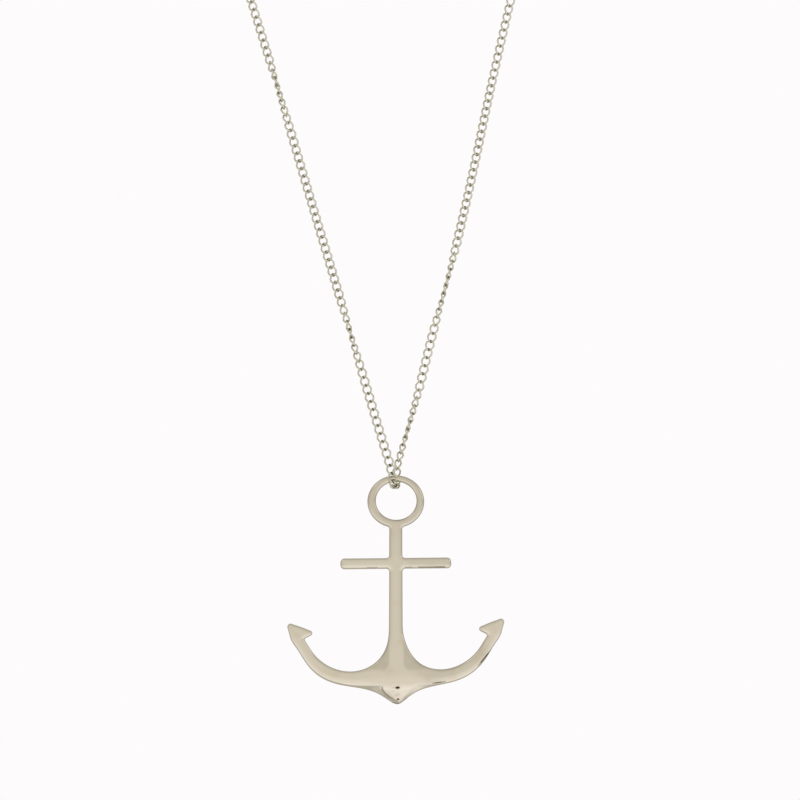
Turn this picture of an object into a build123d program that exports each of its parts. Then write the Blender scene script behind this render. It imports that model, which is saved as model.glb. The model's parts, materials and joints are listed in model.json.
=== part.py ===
"""Anchor pendant hanging on a long curb chain, with a plain clasp at the nape.

Frame: millimetres, X to the right when the wearer's front is seen, Y into the picture, Z up.
The origin is the middle of the clasp, where the chain lies on the nape of the neck. The loop
goes round the neck and hangs in front of it, and the anchor hangs from its lowest point.
"""

import os
from math import cos, hypot, pi, radians, sin, tan

from build123d import *

# Middle of the ring's top wall, which the chain goes round and the anchor swings about
PIVOT_X = 4.0
PIVOT_Y = -110.0
PIVOT_Z = -266.0

# Casting
THICKNESS = 1.8
FRONT_ROUND = 0.45
BACK_ROUND = 0.4

# Oval ring, whose top wall is the thin one
RING_WIDTH = 13.64
RING_HEIGHT = 12.58
BORE_WIDTH = 9.76
BORE_HEIGHT = 9.12
BORE_OFFSET = 0.1
RING_TOP_WALL = 1.55
RING_ROOT_FILLET = 0.6

# Shank, which widens a little towards the arms
SHANK_TOP_WIDTH = 3.05
SHANK_FOOT_WIDTH = 3.3
SHANK_FOOT_DROP = 35.0

# Crossbar
STOCK_DROP = 20.35
STOCK_LENGTH = 26.6
STOCK_ROOT_HEIGHT = 2.55
STOCK_END_HEIGHT = 2.6
STOCK_END_ROUND = 1.0
STOCK_FILLET = 0.7
STOCK_TILT = 0.57

# Arms and crown
CROWN_DROP = 54.2
CROWN_OFFSET = 0.35
THROAT_OFFSET = 0.3
ARM_SPAN = 51.8
ARM_RISE = 19.7
ARM_CANT = 1.35
BARB_REACH = 7.2
BARB_ROOT_ROUND = 0.4
BARB_TIP_ROUND = 0.62
FLUKE_ROUND = 0.75
FLUKE_CREST_RISE = 0.12
FLUKE_CREST_ROUND = 8.0
# How soon the two offsets fade out along an arm
CROWN_FADE = 6
THROAT_FADE = 2

# Nose of the crown: below a ridge the front face leans back, between two cheeks that fall
# away more steeply
NOSE_DROP = 49.45
NOSE_WIDTH = 7.8
NOSE_TIP_MARGIN = 0.8
NOSE_SLOPE = 10.0
CHEEK_SLOPE = 26.0

# Outline of an arm below, from the tip of the crown outwards
# Each row: share of half the span, share of the rise above the tip
CROWN_SHARES = [
    (0.048, 0.024),
    (0.104, 0.077),
    (0.185, 0.144),
    (0.315, 0.203),
    (0.556, 0.269),
    (0.706, 0.362),
    (0.822, 0.511),
    (0.917, 0.706),
]
# Where the outer edge begins to straighten towards the point of the fluke
SHOULDER_SHARES = (0.980, 0.850)
# Point of the fluke before it is rounded
POINT_SHARES = (1.018, 1.036)
# Height of the barb's tip, and place of its root
BARB_TIP_SHARE = 0.898
BARB_ROOT_SHARES = (0.851, 0.822)
# Where the throat's curve meets the straight stretch before the barb's root
THROAT_END_SHARE = 0.55

# Outline of an arm above, from the foot of the shank to the barb, in the same two shares
THROAT_SHARES = [
    (0.105, 0.681),
    (0.227, 0.487),
    (0.444, 0.416),
    (0.623, 0.487),
    (0.770, 0.657),
]

# Chain: the tube stands for twisted links 2.4 mm wide and 1.2 mm thick
CHAIN_DIAMETER = 1.6
RING_CLEARANCE = 0.2
# Share of the shorter run that an arc of the route takes at each of its points
ARC_SHARE = 0.45

# Clasp at the nape: a barrel with an eye at each end
CLASP_LENGTH = 8.0
CLASP_DIAMETER = 3.6
CLASP_END_ROUND = 1.2
EYE_DIAMETER = 2.8
EYE_WIRE = 0.7
EYE_SINK = 0.5
CLASP_GAP = 0.15

# Route of the chain round one side of the neck, from the clasp to the front, chosen by hand.
# The other side is its mirror image.
NECK_ROUTE = [
    (14.0, -0.8, -0.8),
    (27.0, -5.0, -4.5),
    (42.0, -14.5, -13.0),
    (54.0, -31.0, -26.0),
    (59.5, -53.0, -42.0),
    (57.5, -77.0, -60.0),
    (51.0, -96.5, -83.0),
    (43.2, -106.8, -110.0),
]
# Routes of the two hanging strands, chosen by hand, from just above the ring upwards and
# counted from the middle of the ring's top wall. The left one passes in front of the wall.
LEFT_STRAND = [
    (-1.05, -2.05, 2.4),
    (-3.05, -2.2, 8.6),
    (-6.75, -2.3, 21.0),
    (-13.55, -2.2, 44.0),
    (-21.35, -1.9, 70.0),
    (-28.75, -1.3, 95.5),
    (-38.3, 0.4, 126.0),
]
RIGHT_STRAND = [
    (0.1, 2.05, 2.4),
    (1.9, 2.15, 8.4),
    (5.4, 2.2, 20.5),
    (8.6, 2.15, 34.0),
    (13.1, 2.1, 50.0),
    (17.85, 2.0, 70.0),
    (23.1, 2.0, 95.5),
    (30.2, 2.2, 126.0),
]
# Sideways place of the chain where it passes under the ring's top wall, from front to back
BIGHT_X = [-0.6, -0.3, 0.0, 0.15]


def arm_point(side, share_x, share_z):
    """A point of an arm's outline in the plane of the casting, from its two shares."""
    x = side * share_x * ARM_SPAN / 2
    z = -CROWN_DROP + share_z * ARM_RISE
    return (x, z + x * tan(radians(ARM_CANT)))


def shifted_point(side, share_x, share_z, offset, fade):
    """A point of an arm's outline, shifted to the right by an offset that fades out along the arm."""
    x, z = arm_point(side, share_x, share_z)
    return (x + offset * (1.0 - share_x) ** fade, z)


def unit(start, end):
    """Direction from one point to another, of length one."""
    dx = end[0] - start[0]
    dz = end[1] - start[1]
    length = hypot(dx, dz)
    return (dx / length, dz / length)


def between(start, end, share):
    """The point at a share of the way from one point to another."""
    return tuple(a + (b - a) * share for a, b in zip(start, end))


def shank_half_width(drop):
    """Half the shank's width at a distance below the pivot."""
    share = drop / SHANK_FOOT_DROP
    return (SHANK_TOP_WIDTH + (SHANK_FOOT_WIDTH - SHANK_TOP_WIDTH) * share) / 2


def arm_edges(side):
    """Edges of one arm, from the foot of the shank, over the fluke, to the crown's tip."""
    foot = (side * SHANK_FOOT_WIDTH / 2, -SHANK_FOOT_DROP)
    root = arm_point(side, *BARB_ROOT_SHARES)
    point = arm_point(side, *POINT_SHARES)
    barb_height = arm_point(side, BARB_ROOT_SHARES[0], BARB_TIP_SHARE)[1]
    barb = (point[0] - side * BARB_REACH, barb_height)
    middle = between(barb, point, 0.5)
    crest = (middle[0], middle[1] + FLUKE_CREST_RISE)
    shoulder = arm_point(side, *SHOULDER_SHARES)
    tip = shifted_point(side, 0.0, 0.0, CROWN_OFFSET, CROWN_FADE)
    throat = [shifted_point(side, *row, THROAT_OFFSET, THROAT_FADE) for row in THROAT_SHARES]
    crown = [shifted_point(side, *row, CROWN_OFFSET, CROWN_FADE) for row in reversed(CROWN_SHARES)]
    throat_end = between(throat[-1], root, THROAT_END_SHARE)
    upper = Spline(foot, *throat, throat_end, tangents=[(0, -1), unit(throat[-1], root)])
    fluke = FilletPolyline(
        throat_end,
        root,
        barb,
        crest,
        point,
        shoulder,
        radius=[BARB_ROOT_ROUND, BARB_TIP_ROUND, FLUKE_CREST_ROUND, FLUKE_ROUND],
    )
    lower = Spline(shoulder, *crown, tip, tangents=[unit(point, shoulder), (-side, 0)])
    return [upper, *fluke.edges(), lower]


def lower_body():
    """Face of the shank below the crossbar, with both arms and the crown."""
    half = shank_half_width(STOCK_DROP)
    top = Line((-half, -STOCK_DROP), (half, -STOCK_DROP))
    sides = [
        Line((s * half, -STOCK_DROP), (s * SHANK_FOOT_WIDTH / 2, -SHANK_FOOT_DROP))
        for s in (-1, 1)
    ]
    return make_face(Wire([top, *sides, *arm_edges(-1), *arm_edges(1)]))


def upper_shank():
    """Face of the shank from the crossbar up into the ring's bottom wall."""
    top_drop = (RING_HEIGHT + BORE_HEIGHT) / 2
    half_top = shank_half_width(top_drop)
    half_foot = shank_half_width(STOCK_DROP)
    corners = [
        (-half_foot, -STOCK_DROP),
        (half_foot, -STOCK_DROP),
        (half_top, -top_drop),
        (-half_top, -top_drop),
    ]
    return make_face(Polyline(*corners, close=True))


def stock():
    """Face of the crossbar, a little higher at its round ends than at the shank."""
    half_root = STOCK_ROOT_HEIGHT / 2
    half_end = STOCK_END_HEIGHT / 2
    half_length = STOCK_LENGTH / 2
    corners = [
        (-half_length, -half_end),
        (0, -half_root),
        (half_length, -half_end),
        (half_length, half_end),
        (0, half_root),
        (-half_length, half_end),
    ]
    bar = make_face(Polyline(*corners, close=True))
    ends = [v for v in bar.vertices() if abs(v.X) > half_length / 2]
    bar = fillet(ends, STOCK_END_ROUND)
    return Pos(0, -STOCK_DROP) * Rot(0, 0, STOCK_TILT) * bar


def outline():
    """Face of the whole casting, with its inner corners rounded and the ring's bore cut."""
    outer_z = (RING_TOP_WALL - RING_HEIGHT) / 2
    bore_z = -(RING_TOP_WALL + BORE_HEIGHT) / 2
    face = Pos(0, outer_z) * Ellipse(RING_WIDTH / 2, RING_HEIGHT / 2)
    face = face + upper_shank() + lower_body() + stock()
    stock_corners = [
        v
        for v in face.vertices()
        if abs(v.X) < SHANK_FOOT_WIDTH and abs(v.Y + STOCK_DROP) < STOCK_END_HEIGHT
    ]
    face = fillet(stock_corners, STOCK_FILLET)
    ring_corners = [
        v for v in face.vertices() if abs(v.X) < SHANK_FOOT_WIDTH and v.Y > -RING_HEIGHT
    ]
    ring_corners = [v for v in ring_corners if v.Y < bore_z]
    face = fillet(ring_corners, RING_ROOT_FILLET)
    return face - Pos(BORE_OFFSET, bore_z) * Ellipse(BORE_WIDTH / 2, BORE_HEIGHT / 2)


def hinged_block(start, end, slope):
    """A large block over the plane that turns down from a line of the front face.

    The plane falls away by the slope in degrees to the right of the line's direction.
    """
    across = unit(start, end)
    tilt = radians(slope)
    normal = (across[1] * sin(tilt), -across[0] * sin(tilt), cos(tilt))
    plane = Plane(origin=(*start, THICKNESS / 2), x_dir=(*across, 0), z_dir=normal)
    return plane * Pos(0, 0, ARM_SPAN / 2) * Box(2 * ARM_SPAN, 2 * ARM_SPAN, ARM_SPAN)


def nose_cuts():
    """What is cut from the front of the crown: one block below the ridge, and two cheeks."""
    corners = []
    for x in (CROWN_OFFSET - NOSE_WIDTH / 2, CROWN_OFFSET + NOSE_WIDTH / 2):
        corners.append((x, -NOSE_DROP + x * tan(radians(ARM_CANT))))
    left, right = corners
    tip = (CROWN_OFFSET, -CROWN_DROP + NOSE_TIP_MARGIN)
    below_ridge = hinged_block(left, right, CHEEK_SLOPE)
    cuts = [hinged_block(left, right, NOSE_SLOPE)]
    for start, end in ((left, tip), (tip, right)):
        cuts.append(below_ridge & hinged_block(start, end, CHEEK_SLOPE))
    return cuts


def anchor():
    """The casting: ring, shank, crossbar, arms and crown in one solid, rounded at its edges."""
    casting = extrude(outline(), amount=THICKNESS / 2, both=True)
    casting = fillet(casting.faces().sort_by(Axis.Z)[-1].edges(), FRONT_ROUND)
    casting = fillet(casting.faces().sort_by(Axis.Z)[0].edges(), BACK_ROUND)
    for cut in nose_cuts():
        casting = casting - cut
    return Pos(PIVOT_X, PIVOT_Y, PIVOT_Z) * Rot(90, 0, 0) * casting


def wall_reach(corner_round):
    """Farthest point of the ring's top wall from its middle, at corners of one radius."""
    return hypot(RING_TOP_WALL / 2 - corner_round, THICKNESS / 2 - corner_round) + corner_round


def bight():
    """Route points where the chain passes under the ring's top wall, from front to back."""
    reach = max(wall_reach(FRONT_ROUND), wall_reach(BACK_ROUND))
    middle = reach + RING_CLEARANCE + CHAIN_DIAMETER / 2
    step = pi / len(BIGHT_X)
    corner = middle / cos(step / 2)
    points = []
    for i, x in enumerate(BIGHT_X):
        turn = pi + step * (i + 0.5)
        points.append((PIVOT_X + x, PIVOT_Y + corner * cos(turn), PIVOT_Z + corner * sin(turn)))
    return points


def chain_route():
    """The chain's route from one end of the clasp round the loop to the other."""
    end_x = CLASP_LENGTH / 2 - EYE_SINK + EYE_DIAMETER + CLASP_GAP
    left_neck = [(-x, y, z) for x, y, z in NECK_ROUTE]
    left, right = [
        [(PIVOT_X + x, PIVOT_Y + y, PIVOT_Z + z) for x, y, z in strand]
        for strand in (LEFT_STRAND, RIGHT_STRAND)
    ]
    start = [(-end_x, 0, 0)] + left_neck + left[::-1]
    return start + bight() + right + NECK_ROUTE[::-1] + [(end_x, 0, 0)]


def arc_radii(route):
    """Radius of the arc at each inner point of a route, from its runs and its turn."""
    points = [Vector(*p) for p in route]
    radii = []
    for before, here, after in zip(points, points[1:], points[2:]):
        turn = radians((here - before).get_angle(after - here))
        shorter = min((here - before).length, (after - here).length)
        radii.append(ARC_SHARE * shorter / tan(turn / 2))
    return radii


def chain():
    """The chain as a tube of straight runs and tangent arcs along its route."""
    route = chain_route()
    radii = arc_radii(route)
    path = FilletPolyline(*route, radius=radii)
    section = Plane(origin=path @ 0, z_dir=path % 0) * Circle(CHAIN_DIAMETER / 2)
    tube = sweep(section, path=path)
    expected = section.area * path.length
    print("chain length", round(path.length, 1), "volume", round(tube.volume, 2), round(expected, 2))
    print("arc radii", [round(r, 1) for r in radii])
    return tube


def clasp():
    """The clasp: a round-ended barrel with a wire eye at each end, in one solid."""
    barrel = Cylinder(CLASP_DIAMETER / 2, CLASP_LENGTH)
    barrel = fillet(barrel.edges().filter_by(GeomType.CIRCLE), CLASP_END_ROUND)
    body = Rot(0, 90, 0) * barrel
    eye_x = CLASP_LENGTH / 2 - EYE_SINK + EYE_DIAMETER / 2
    eye = Rot(90, 0, 0) * Torus((EYE_DIAMETER - EYE_WIRE) / 2, EYE_WIRE / 2)
    for side in (-1, 1):
        body = body + Pos(side * eye_x, 0, 0) * eye
    return body


os.makedirs("parts", exist_ok=True)
export_step(anchor(), "parts/anchor.step")
export_step(chain(), "parts/chain.step")
export_step(clasp(), "parts/clasp.step")
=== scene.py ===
"""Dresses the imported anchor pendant: a polished casting on a long curb chain, in a pale studio.

Frame: metres, X to the right when the wearer's front is seen, Y into the picture, Z up.
The classes hold their sizes in millimetres, counted from the swing axis of the pendant for
what hangs near it, and each mesh is put in its place in metres.
"""

import json
import logging
from collections.abc import Iterator
from dataclasses import dataclass
from enum import Enum

import bpy
import numpy as np
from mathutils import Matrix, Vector
from mathutils.geometry import delaunay_2d_cdt


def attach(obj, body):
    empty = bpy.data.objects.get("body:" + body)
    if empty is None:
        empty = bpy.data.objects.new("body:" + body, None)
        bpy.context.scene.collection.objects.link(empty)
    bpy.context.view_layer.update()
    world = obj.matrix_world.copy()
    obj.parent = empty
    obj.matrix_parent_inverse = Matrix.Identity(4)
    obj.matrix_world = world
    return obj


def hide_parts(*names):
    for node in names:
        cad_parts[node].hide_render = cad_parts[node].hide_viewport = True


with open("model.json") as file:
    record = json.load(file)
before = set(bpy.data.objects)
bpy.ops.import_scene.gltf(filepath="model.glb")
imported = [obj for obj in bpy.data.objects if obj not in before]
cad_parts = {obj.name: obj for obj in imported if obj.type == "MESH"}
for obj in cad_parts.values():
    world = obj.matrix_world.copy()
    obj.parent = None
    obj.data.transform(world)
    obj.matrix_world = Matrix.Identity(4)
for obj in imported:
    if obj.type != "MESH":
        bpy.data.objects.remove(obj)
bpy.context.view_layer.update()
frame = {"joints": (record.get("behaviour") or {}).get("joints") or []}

logging.basicConfig(level=logging.INFO, format="%(message)s")
log = logging.getLogger("anchor_pendant")

MM = 0.001
PICTURE_WIDTH = 800
PICTURE_MM_PER_PIXEL = 0.24


class Side(Enum):
    """Which half of a symmetrical part is meant, as seen from the front."""

    LEFT = -1
    RIGHT = 1


class Slot(Enum):
    """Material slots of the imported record."""

    ANCHOR = "anchor_metal"
    CHAIN = "chain_metal"
    CLASP = "clasp_metal"


def pivot() -> np.ndarray:
    """Middle of the ring's top wall in metres, which the joint gives."""
    joint = next(j for j in frame["joints"] if j["name"] == "pendant_swing")
    return np.array(joint["pos_m"], float)


def unit(vectors: np.ndarray) -> np.ndarray:
    """The same directions with length one, along the last axis."""
    vectors = np.asarray(vectors, float)
    return vectors / np.linalg.norm(vectors, axis=-1, keepdims=True)


def smooth_step(values: np.ndarray, low: float, high: float) -> np.ndarray:
    """Nought below low, one above high, and 3t^2 - 2t^3 of the share t between them."""
    share = np.clip((np.asarray(values, float) - low) / (high - low), 0.0, 1.0)
    return share * share * (3.0 - 2.0 * share)


def smooth_rise(values: np.ndarray, low: float, high: float) -> np.ndarray:
    """The height climbed by a slope that grows from nought, at low, to one, at high.

    It is the smooth step's running sum: (high - low) (t^3 - t^4 / 2) of the share t between
    them, and a straight line above.

    Args:
        values: Distances along the climb.
        low: Where the slope sets in.
        high: Where it reaches one.

    Returns:
        The height at each value.
    """
    values = np.asarray(values, float)
    share = np.clip((values - low) / (high - low), 0.0, 1.0)
    return (high - low) * (share**3 - share**4 / 2.0) + np.maximum(values - high, 0.0)


def soft_smaller(first: np.ndarray, second: np.ndarray) -> np.ndarray:
    """The smaller of two heights that are never negative, with the edge between them rounded.

    It is their product over the fourth root of the sum of their fourth powers.
    """
    larger = (first**4 + second**4) ** 0.25
    return np.divide(first * second, larger, out=np.zeros_like(larger), where=larger > 0.0)


def line_distance(points: np.ndarray, start: tuple, end: tuple) -> np.ndarray:
    """Distance of points from the straight line between two places.

    Args:
        points: The points, one per row.
        start: One end of the line.
        end: Its other end.

    Returns:
        One distance per point.
    """
    start = np.asarray(start, float)
    run = np.asarray(end, float) - start
    share = np.clip((points - start) @ run / (run @ run), 0.0, 1.0)
    return np.linalg.norm(points - start - share[:, None] * run, axis=1)


def full_turn(count: int) -> np.ndarray:
    """Even angles round a full turn, from nought."""
    return np.linspace(0.0, 2.0 * np.pi, count, endpoint=False)


def run_lengths(points: np.ndarray) -> np.ndarray:
    """Length along a line of points at each of them, from nought."""
    steps = np.linalg.norm(np.diff(points, axis=0), axis=1)
    return np.concatenate([[0.0], np.cumsum(steps)])


def at_lengths(points: np.ndarray, lengths: np.ndarray) -> np.ndarray:
    """Points of a line at given lengths along it.

    Args:
        points: The line, one row per point.
        lengths: Where to read it, in the line's own unit.

    Returns:
        One row per length.
    """
    along = run_lengths(points)
    return np.stack([np.interp(lengths, along, column) for column in points.T], axis=1)


def spline_through(points: list, start: tuple, end: tuple, spacing: float) -> np.ndarray:
    """Points along a smooth curve through some points, with given directions at its ends.

    Between two points the curve is the cubic that has a given place and slope at each of them.
    The slopes come from one set of equations which makes the curvature continuous.

    Args:
        points: What the curve goes through.
        start: Its direction at the first point.
        end: Its direction at the last one.
        spacing: About how far apart the returned points lie.

    Returns:
        The curve's points, from first to last.
    """
    p = np.asarray(points, float)
    h = np.linalg.norm(np.diff(p, axis=0), axis=1)
    inner = np.arange(1, len(p) - 1)
    system = np.zeros((len(p), len(p)))
    system[0, 0] = 1.0
    system[-1, -1] = 1.0
    system[inner, inner - 1] = h[1:]
    system[inner, inner] = 2.0 * (h[:-1] + h[1:])
    system[inner, inner + 1] = h[:-1]
    chords = np.diff(p, axis=0) / h[:, None]
    right = np.zeros_like(p)
    right[0] = unit(start)
    right[-1] = unit(end)
    right[1:-1] = 3.0 * (h[1:, None] * chords[:-1] + h[:-1, None] * chords[1:])
    slopes = np.linalg.solve(system, right)
    count = int(np.ceil(h.sum() / spacing))
    where = np.linspace(0.0, h.sum(), count + 1)
    knots = np.concatenate([[0.0], np.cumsum(h)])
    span = np.clip(np.searchsorted(knots, where, side="right") - 1, 0, len(h) - 1)
    t = ((where - knots[span]) / h[span])[:, None]
    run = h[span][:, None]
    places = (1 + 2 * t) * (1 - t) ** 2 * p[span] + t * t * (3 - 2 * t) * p[span + 1]
    bends = t * (1 - t) ** 2 * slopes[span] - t * t * (1 - t) * slopes[span + 1]
    return places + bends * run


def rounded_run(corners: list, radii: list, spacing: float) -> np.ndarray:
    """Points along straight runs whose inner corners are rounded by tangent arcs.

    Args:
        corners: The first point, the corners and the last point.
        radii: One radius for each corner.
        spacing: About how far apart the points of an arc lie.

    Returns:
        The points, from first to last.
    """
    corners = [np.asarray(c, float) for c in corners]
    rows = [corners[0][None]]
    for before, corner, after, radius in zip(corners, corners[1:], corners[2:], radii):
        back = unit(before - corner)
        ahead = unit(after - corner)
        half = np.arccos(np.clip(back @ ahead, -1.0, 1.0)) / 2.0
        centre = corner + unit(back + ahead) * radius / np.sin(half)
        first = corner + back * radius / np.tan(half) - centre
        last = corner + ahead * radius / np.tan(half) - centre
        sweep = np.pi - 2.0 * half
        t = np.linspace(0.0, 1.0, int(np.ceil(radius * sweep / spacing)) + 2)[:, None]
        arc = (np.sin((1 - t) * sweep) * first + np.sin(t * sweep) * last) / np.sin(sweep)
        rows.append(centre + arc)
    rows.append(corners[-1][None])
    return np.concatenate(rows)


def grid_faces(rows: int, columns: int, first: int = 0, ring: bool = False) -> np.ndarray:
    """Quads of a grid of vertices, numbered row by row, in which each row's end joins its start.

    Args:
        rows: How many rows the grid has.
        columns: How many vertices a row has.
        first: Number of the grid's first vertex.
        ring: Whether the last row joins the first.

    Returns:
        One row of four vertex numbers per quad.
    """
    numbers = first + np.arange(rows * columns).reshape(rows, columns)
    numbers = np.concatenate([numbers, numbers[:, :1]], axis=1)
    if ring:
        numbers = np.concatenate([numbers, numbers[:1]], axis=0)
    corners = [numbers[:-1, :-1], numbers[:-1, 1:], numbers[1:, 1:], numbers[1:, :-1]]
    return np.stack(corners, axis=-1).reshape(-1, 4)


def make_mesh(
    name: str, vertices: np.ndarray, quads: np.ndarray, triangles: np.ndarray | None = None
) -> bpy.types.Mesh:
    """A smooth mesh from arrays.

    Args:
        name: The mesh's name.
        vertices: One row per vertex, in metres.
        quads: Four vertex numbers per row.
        triangles: Three vertex numbers per row, where it has triangles.

    Returns:
        The mesh.
    """
    if triangles is None:
        triangles = np.empty((0, 3), int)
    mesh = bpy.data.meshes.new(name)
    mesh.vertices.add(len(vertices))
    mesh.vertices.foreach_set("co", np.asarray(vertices, np.float32).ravel())
    corners = np.concatenate([quads.ravel(), triangles.ravel()]).astype(np.int32)
    sizes = np.concatenate([np.full(len(quads), 4), np.full(len(triangles), 3)])
    starts = np.concatenate([[0], np.cumsum(sizes)[:-1]]).astype(np.int32)
    mesh.loops.add(len(corners))
    mesh.loops.foreach_set("vertex_index", corners)
    mesh.polygons.add(len(sizes))
    mesh.polygons.foreach_set("loop_start", starts)
    mesh.update(calc_edges=True)
    mesh.validate()
    mesh.shade_smooth()
    return mesh


def paint(mesh: bpy.types.Mesh, name: str, values: np.ndarray) -> None:
    """Gives a mesh a number at each vertex, which its material reads by name."""
    attribute = mesh.attributes.new(name, "FLOAT", "POINT")
    attribute.data.foreach_set("value", np.asarray(values, np.float32))


def add_object(name: str, data: bpy.types.ID) -> bpy.types.Object:
    """Adds an object with some data to the scene.

    Args:
        name: Its name.
        data: Its mesh, light or camera.

    Returns:
        The new object.
    """
    added = bpy.data.objects.new(name, data)
    bpy.context.scene.collection.objects.link(added)
    return added


def add_piece(
    mesh: bpy.types.Mesh, finish: bpy.types.Material, body: str, slot: Slot, node: str
) -> bpy.types.Object:
    """Adds a piece of the object that rides on a body and stands for a CAD node.

    Args:
        mesh: Its mesh, in metres in the frame.
        finish: Its material.
        body: The body that it rides on.
        slot: The record's slot for its finish; not used.
        node: The CAD node that it replaces.

    Returns:
        The new object.
    """
    piece = add_object(mesh.name, mesh)
    mesh.materials.append(finish)
    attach(piece, body)
    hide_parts(node)
    log.info("%s: %d vertices, %d faces", mesh.name, len(mesh.vertices), len(mesh.polygons))
    return piece


class Tree:
    """A node tree that is written as calls, each of which returns an output socket."""

    def __init__(self, tree: bpy.types.NodeTree) -> None:
        """Starts from an emptied tree."""
        self.tree = tree
        tree.nodes.clear()

    def node(self, kind: str, inputs: dict, **settings: object) -> bpy.types.Node:
        """Adds a node.

        Args:
            kind: Blender's name for the node's type.
            inputs: A value or an output socket for each input, by name or number.
            settings: The node's own settings.

        Returns:
            The node.
        """
        node = self.tree.nodes.new(kind)
        for key, value in settings.items():
            setattr(node, key, value)
        for key, value in inputs.items():
            if isinstance(value, bpy.types.NodeSocket):
                self.tree.links.new(value, node.inputs[key])
            else:
                node.inputs[key].default_value = value
        return node

    def math(self, operation: str, *values: object) -> bpy.types.NodeSocket:
        """A Math node's output."""
        inputs = dict(enumerate(values))
        return self.node("ShaderNodeMath", inputs, operation=operation).outputs[0]

    def dot(self, vector: object, direction: tuple) -> bpy.types.NodeSocket:
        """The share of a vector along a direction."""
        inputs = {0: vector, 1: direction}
        return self.node("ShaderNodeVectorMath", inputs, operation="DOT_PRODUCT").outputs["Value"]

    def map(
        self, value: object, low: float, high: float, start: object, end: float
    ) -> bpy.types.NodeSocket:
        """A value's smooth passage from start, at low, to end, at high."""
        inputs = {0: value, 1: low, 2: high, 3: start, 4: end}
        return self.node("ShaderNodeMapRange", inputs, interpolation_type="SMOOTHSTEP").outputs[0]

    def ramp(self, value: object, stops: list) -> bpy.types.NodeSocket:
        """A grey that passes softly through stops.

        Args:
            value: What picks the grey, from 0 to 1.
            stops: Places from 0 to 1, each with its brightness.

        Returns:
            The grey's output socket.
        """
        node = self.node("ShaderNodeValToRGB", {0: value})
        node.color_ramp.interpolation = "EASE"
        while len(node.color_ramp.elements) < len(stops):
            node.color_ramp.elements.new(0.5)
        for element, (place, grey) in zip(node.color_ramp.elements, stops):
            element.position = place
            element.color = (grey, grey, grey, 1.0)
        return node.outputs[0]

    def mix(self, share: object, first: object, second: object) -> bpy.types.NodeSocket:
        """A colour between two others."""
        node = self.node("ShaderNodeMix", {0: share, 6: first, 7: second}, data_type="RGBA")
        return node.outputs[2]

    def scaled(self, factor: object, colour: object) -> bpy.types.NodeSocket:
        """A colour times a number."""
        inputs = {0: colour, 3: factor}
        return self.node("ShaderNodeVectorMath", inputs, operation="SCALE").outputs[0]

    def noise(self, where: object, scale: float, detail: float = 3.0) -> bpy.types.NodeSocket:
        """Even noise between nought and one."""
        inputs = {"Vector": where, "Scale": scale, "Detail": detail}
        return self.node("ShaderNodeTexNoise", inputs).outputs[0]


def node_material(name: str) -> tuple:
    """A new material and its emptied node tree.

    Args:
        name: The material's name.

    Returns:
        The material and the tree.
    """
    material = bpy.data.materials.new(name)
    material.use_nodes = True
    return material, Tree(material.node_tree)


@dataclass(frozen=True)
class PolishedPlating:
    """Warm silver plating over a polished surface, with faint haze, wear and fine scratches.

    The scales are in patterns per metre, so 300 makes patches about 3 mm wide. The depths are
    in metres, and the ranges say over which part of its noise wear or haze sets in. A number
    that a mesh carries at each vertex, where it has one, is painted shade: from nought to one it
    darkens the colour towards a dark brown, and from one to two on to black, for the deepest
    painted shade and painted dark reflections. Where it is painted, the surface is rougher too.
    """

    name: str
    colour: tuple = (0.742, 0.668, 0.525)
    worn_colour: tuple = (0.705, 0.628, 0.478)
    worn_range: tuple = (0.48, 0.72)
    patch_scale: float = 260.0
    tarnish: tuple = (0.085, 0.065, 0.028)
    deepest_painted_shade: tuple = (0.004, 0.003, 0.002)
    polish: float = 0.06
    haze: float = 0.13
    haze_range: tuple = (0.35, 0.75)
    haze_scale: float = 600.0
    tarnish_haze: float = 0.3
    scratch_scale: float = 900.0
    scratch_stretch: float = 0.12
    scratch_detail: float = 5.0
    scratch_depth: float = 0.000002
    wave_scale: float = 170.0
    wave_detail: float = 1.0
    wave_depth: float = 0.000012

    def material(self) -> bpy.types.Material:
        """The plating's material, whose patterns read Object coordinates.

        Returns:
            The material.
        """
        material, tree = node_material(self.name)
        place = tree.node("ShaderNodeTexCoord", {}).outputs["Object"]
        painted_darkness = tree.node("ShaderNodeAttribute", {}, attribute_name="painted_darkness").outputs["Fac"]
        worn = tree.map(tree.noise(place, self.patch_scale), *self.worn_range, 0.0, 1.0)
        colour = tree.mix(worn, (*self.colour, 1.0), (*self.worn_colour, 1.0))
        # Painted shade and painted dark reflections: the mesh's number darkens the colour to a
        # dark brown, then to black.
        colour = tree.mix(tree.math("MINIMUM", painted_darkness, 1.0), colour, (*self.tarnish, 1.0))
        colour = tree.mix(tree.map(painted_darkness, 1.0, 2.0, 0.0, 1.0), colour, (*self.deepest_painted_shade, 1.0))
        clouds = tree.noise(place, self.haze_scale)
        rough = tree.map(clouds, *self.haze_range, self.polish, self.haze)
        rough = tree.map(painted_darkness, 0.0, 1.0, rough, self.tarnish_haze)
        waves = tree.noise(place, self.wave_scale, self.wave_detail)
        wavy = tree.node("ShaderNodeBump", {"Distance": self.wave_depth, "Height": waves})
        stretch = {"Vector": place, "Scale": (1.0, 1.0, self.scratch_stretch)}
        streaks = tree.node("ShaderNodeMapping", stretch).outputs[0]
        scratches = {"Height": tree.noise(streaks, self.scratch_scale, self.scratch_detail)}
        scratches.update({"Distance": self.scratch_depth, "Normal": wavy.outputs[0]})
        normal = tree.node("ShaderNodeBump", scratches).outputs[0]
        surface = {"Base Color": colour, "Metallic": 1.0, "Roughness": rough, "Normal": normal}
        shader = tree.node("ShaderNodeBsdfPrincipled", surface)
        tree.node("ShaderNodeOutputMaterial", {"Surface": shader.outputs[0]})
        return material


@dataclass(frozen=True)
class ChainPlating(PolishedPlating):
    """The same plating on the links, a little yellower."""

    colour: tuple = (0.72, 0.68, 0.51)
    worn_colour: tuple = (0.675, 0.635, 0.465)


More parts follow.
